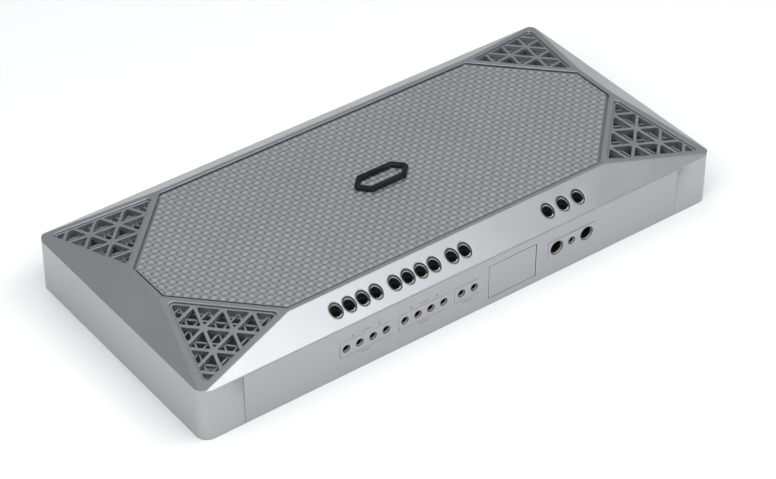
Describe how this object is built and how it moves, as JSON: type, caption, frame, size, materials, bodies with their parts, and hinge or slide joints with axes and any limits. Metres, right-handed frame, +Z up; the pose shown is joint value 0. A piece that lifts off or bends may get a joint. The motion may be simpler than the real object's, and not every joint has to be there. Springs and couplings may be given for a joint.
{
  "type": "car amplifier",
  "caption": "Flat bevelled car amplifier with a patterned top panel, triangular corner grilles, wire terminals and fuse bay on the front and signal controls on the rear.",
  "frame": {"origin": "middle of the underside, where the length, width and resting plane meet", "axes": "+X along the length, +Y from the terminal side to the control side, +Z up"},
  "size_m": [0.451, 0.2195, 0.0596],
  "materials": {
    "painted_casting": "fine satin silver paint on die-cast aluminium",
    "painted_plate": "fine satin silver paint on sheet aluminium",
    "panel_finish": "satin silver over a woven raised pattern",
    "badge_gloss": "polished black",
    "grille_finish": "satin grey",
    "zinc_steel": "zinc plated sheet",
    "insulator": "translucent film",
    "black_plastic": "moulded, fine matte",
    "brass": "stamped, bare",
    "nickel": "nickel plated",
    "fuse_plastic": "translucent orange",
    "steel_screw": "zinc plated",
    "spring_steel": "plain rolled",
    "board": "green solder mask",
    "ferrite": "sintered dark grey",
    "copper": "enamelled copper wire",
    "sleeve": "shrink sleeve",
    "bare_aluminium": "extruded, bare",
    "insert_plastic": "moulded white and red",
    "knob_plastic": "moulded, fine matte",
    "light_pipe": "clear moulded light pipe"
  },
  "bodies": {
    "amplifier": {"housing": "painted_casting", "top_panel": "panel_finish", "badge": "badge_gloss", "terminal_plate": "painted_plate", "control_plate": "painted_plate", "base_plate": "zinc_steel", "insulating_sheet": "insulator", "fuse_holder": "black_plastic", "fuse_clips": "brass", "fuse_bodies": "fuse_plastic", "fuse_blades": "nickel", "front_speaker_block": "black_plastic", "rear_speaker_block": "black_plastic", "subwoofer_block": "black_plastic", "power_block": "black_plastic", "speaker_barrels": "nickel", "power_barrels": "nickel", "speaker_set_screws": "steel_screw", "power_set_screws": "steel_screw", "screw_bushes": "black_plastic", "main_board": "board", "board_spacers": "nickel", "board_screws": "steel_screw", "driver_board": "board", "board_connector": "black_plastic", "driver_chips": "black_plastic", "transformer_cores": "ferrite", "transformer_windings": "copper", "rail_capacitors": "sleeve", "inductor_cores": "ferrite", "inductor_windings": "copper", "heat_bars": "bare_aluminium", "heat_bar_screws": "steel_screw", "power_transistors": "black_plastic", "transistor_clamps": "spring_steel", "clamp_screws": "steel_screw", "rca_block": "black_plastic", "rca_shells": "nickel", "rca_inserts": "insert_plastic", "pot_bodies": "black_plastic", "slide_switch_bodies": "spring_steel", "remote_socket": "black_plastic", "status_lights": "light_pipe", "base_screws": "steel_screw", "plate_screws": "steel_screw"},
    "front_level_control": {"front_level_knob": "knob_plastic"},
    "front_crossover_control": {"front_crossover_knob": "knob_plastic"},
    "rear_level_control": {"rear_level_knob": "knob_plastic"},
    "rear_crossover_control": {"rear_crossover_knob": "knob_plastic"},
    "subwoofer_level_control": {"subwoofer_level_knob": "knob_plastic"},
    "subwoofer_crossover_control": {"subwoofer_crossover_knob": "knob_plastic"},
    "bass_boost_control": {"bass_boost_knob": "knob_plastic"},
    "front_filter_switch": {"front_filter_slider": "knob_plastic"},
    "rear_filter_switch": {"rear_filter_slider": "knob_plastic"},
    "input_mode_switch": {"input_mode_slider": "knob_plastic"},
    "front_left_grille": {"grille_front_left": "grille_finish"},
    "front_right_grille": {"grille_front_right": "grille_finish"},
    "rear_left_grille": {"grille_rear_left": "grille_finish"},
    "rear_right_grille": {"grille_rear_right": "grille_finish"},
    "fuse_door": {"fuse_cover": "painted_plate"}
  },
  "joints": [
    {"name": "front_level_turn", "type": "hinge", "parent": "amplifier", "child": "front_level_control", "pos_m": [0.068, 0.105, 0.0285], "axis": [0, 1, 0], "range_deg": [-150, 150]},
    {"name": "front_crossover_turn", "type": "hinge", "parent": "amplifier", "child": "front_crossover_control", "pos_m": [0.046, 0.105, 0.0285], "axis": [0, 1, 0], "range_deg": [-150, 150]},
    {"name": "rear_level_turn", "type": "hinge", "parent": "amplifier", "child": "rear_level_control", "pos_m": [0.018, 0.105, 0.0285], "axis": [0, 1, 0], "range_deg": [-150, 150]},
    {"name": "rear_crossover_turn", "type": "hinge", "parent": "amplifier", "child": "rear_crossover_control", "pos_m": [-0.004, 0.105, 0.0285], "axis": [0, 1, 0], "range_deg": [-150, 150]},
    {"name": "subwoofer_level_turn", "type": "hinge", "parent": "amplifier", "child": "subwoofer_level_control", "pos_m": [-0.032, 0.105, 0.0285], "axis": [0, 1, 0], "range_deg": [-150, 150]},
    {"name": "subwoofer_crossover_turn", "type": "hinge", "parent": "amplifier", "child": "subwoofer_crossover_control", "pos_m": [-0.054, 0.105, 0.0285], "axis": [0, 1, 0], "range_deg": [-150, 150]},
    {"name": "bass_boost_turn", "type": "hinge", "parent": "amplifier", "child": "bass_boost_control", "pos_m": [-0.079, 0.105, 0.0285], "axis": [0, 1, 0], "range_deg": [-150, 150]},
    {"name": "front_filter_slide", "type": "slide", "parent": "amplifier", "child": "front_filter_switch", "axis": [1, 0, 0], "range_m": [-0.002, 0.002]},
    {"name": "rear_filter_slide", "type": "slide", "parent": "amplifier", "child": "rear_filter_switch", "axis": [1, 0, 0], "range_m": [-0.002, 0.002]},
    {"name": "input_mode_slide", "type": "slide", "parent": "amplifier", "child": "input_mode_switch", "axis": [1, 0, 0], "range_m": [-0.002, 0.002]},
    {"name": "front_left_grille_lift", "type": "slide", "parent": "amplifier", "child": "front_left_grille", "axis": [-0.1309, -0.1309, 0.9827], "range_m": [0, 0.02]},
    {"name": "front_right_grille_lift", "type": "slide", "parent": "amplifier", "child": "front_right_grille", "axis": [0.1309, -0.1309, 0.9827], "range_m": [0, 0.02]},
    {"name": "rear_left_grille_lift", "type": "slide", "parent": "amplifier", "child": "rear_left_grille", "axis": [-0.1309, 0.1309, 0.9827], "range_m": [0, 0.02]},
    {"name": "rear_right_grille_lift", "type": "slide", "parent": "amplifier", "child": "rear_right_grille", "axis": [0.1309, 0.1309, 0.9827], "range_m": [0, 0.02]},
    {"name": "fuse_cover_pull", "type": "slide", "parent": "amplifier", "child": "fuse_door", "axis": [0, -1, 0], "range_m": [0, 0.03]}
  ]
}
